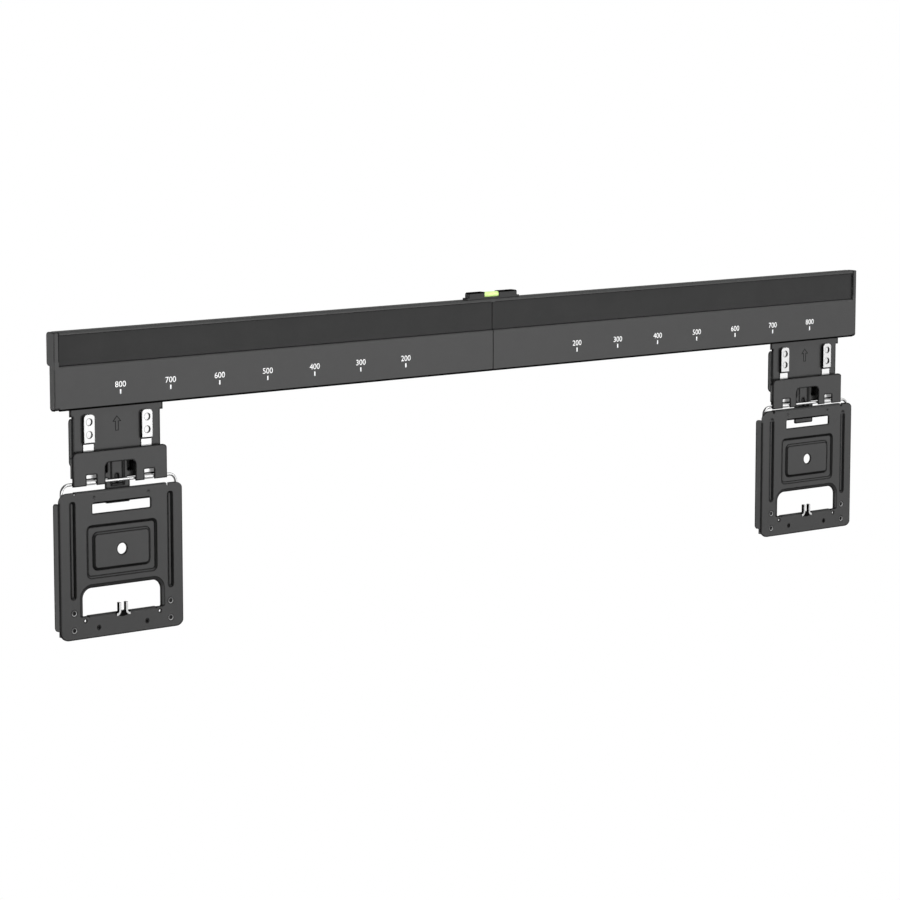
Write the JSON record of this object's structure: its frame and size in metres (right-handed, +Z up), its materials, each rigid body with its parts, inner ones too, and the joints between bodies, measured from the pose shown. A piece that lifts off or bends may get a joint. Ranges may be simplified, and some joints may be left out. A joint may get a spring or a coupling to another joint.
{
  "type": "tv wall mount",
  "caption": "Slim wall rail with a spirit level and sliding hook-on brackets whose pressed plates bolt to a TV and swing out on a bent wire.",
  "frame": {"origin": "on the wall plane at the middle of the rail, at the height of the wall screws", "axes": "+X along the rail to the right as seen from the room, +Y into the wall, +Z up"},
  "size_m": [0.928, 0.0128, 0.2628],
  "materials": {
    "rail_steel": "satin dark grey powder coat on the rail and its front trims",
    "band": "fine matt charcoal inlay",
    "bracket_steel": "satin dark grey powder coat on pressed sheet",
    "bright_steel": "bright rolled spring steel and drawn wire",
    "fastener_steel": "blackened zinc screws",
    "clamp_steel": "dark coated blocks",
    "level_plastic": "black moulded plastic",
    "vial_plastic": "clear tinted acrylic",
    "vial_liquid": "yellow green liquid round a bubble"
  },
  "bodies": {
    "rail": {"wall_rail": "rail_steel", "front_trim_left": "rail_steel", "front_trim_right": "rail_steel", "band_left": "band", "band_right": "band", "level_housing": "level_plastic", "level_vial": "vial_plastic", "level_liquid": "vial_liquid"},
    "left_hanger": {"left_hanger_plate": "bracket_steel", "left_cover_plate": "bracket_steel", "left_strap_outer": "bright_steel", "left_strap_inner": "bright_steel", "left_clamp_outer": "bright_steel", "left_clamp_inner": "bright_steel", "left_rivets": "bright_steel"},
    "left_swing": {"left_wire_bail": "bright_steel", "left_tv_plate": "bracket_steel", "left_wire_clamp_outer": "clamp_steel", "left_wire_clamp_inner": "clamp_steel", "left_plate_screws": "fastener_steel", "left_spring_clip": "bright_steel"},
    "right_hanger": {"right_hanger_plate": "bracket_steel", "right_cover_plate": "bracket_steel", "right_strap_outer": "bright_steel", "right_strap_inner": "bright_steel", "right_clamp_outer": "bright_steel", "right_clamp_inner": "bright_steel", "right_rivets": "bright_steel"},
    "right_swing": {"right_wire_bail": "bright_steel", "right_tv_plate": "bracket_steel", "right_wire_clamp_outer": "clamp_steel", "right_wire_clamp_inner": "clamp_steel", "right_plate_screws": "fastener_steel", "right_spring_clip": "bright_steel"}
  },
  "joints": [
    {"name": "left_slide", "type": "slide", "parent": "rail", "child": "left_hanger", "axis": [1, 0, 0], "range_m": [0, 0.3]},
    {"name": "left_tilt", "type": "hinge", "parent": "left_hanger", "child": "left_swing", "pos_m": [-0.4, -0.00835, -0.1159], "axis": [-1, 0, 0], "range_deg": [0, 15]},
    {"name": "right_slide", "type": "slide", "parent": "rail", "child": "right_hanger", "axis": [-1, 0, 0], "range_m": [0, 0.3]},
    {"name": "right_tilt", "type": "hinge", "parent": "right_hanger", "child": "right_swing", "pos_m": [0.4, -0.00835, -0.1159], "axis": [-1, 0, 0], "range_deg": [0, 15]}
  ]
}
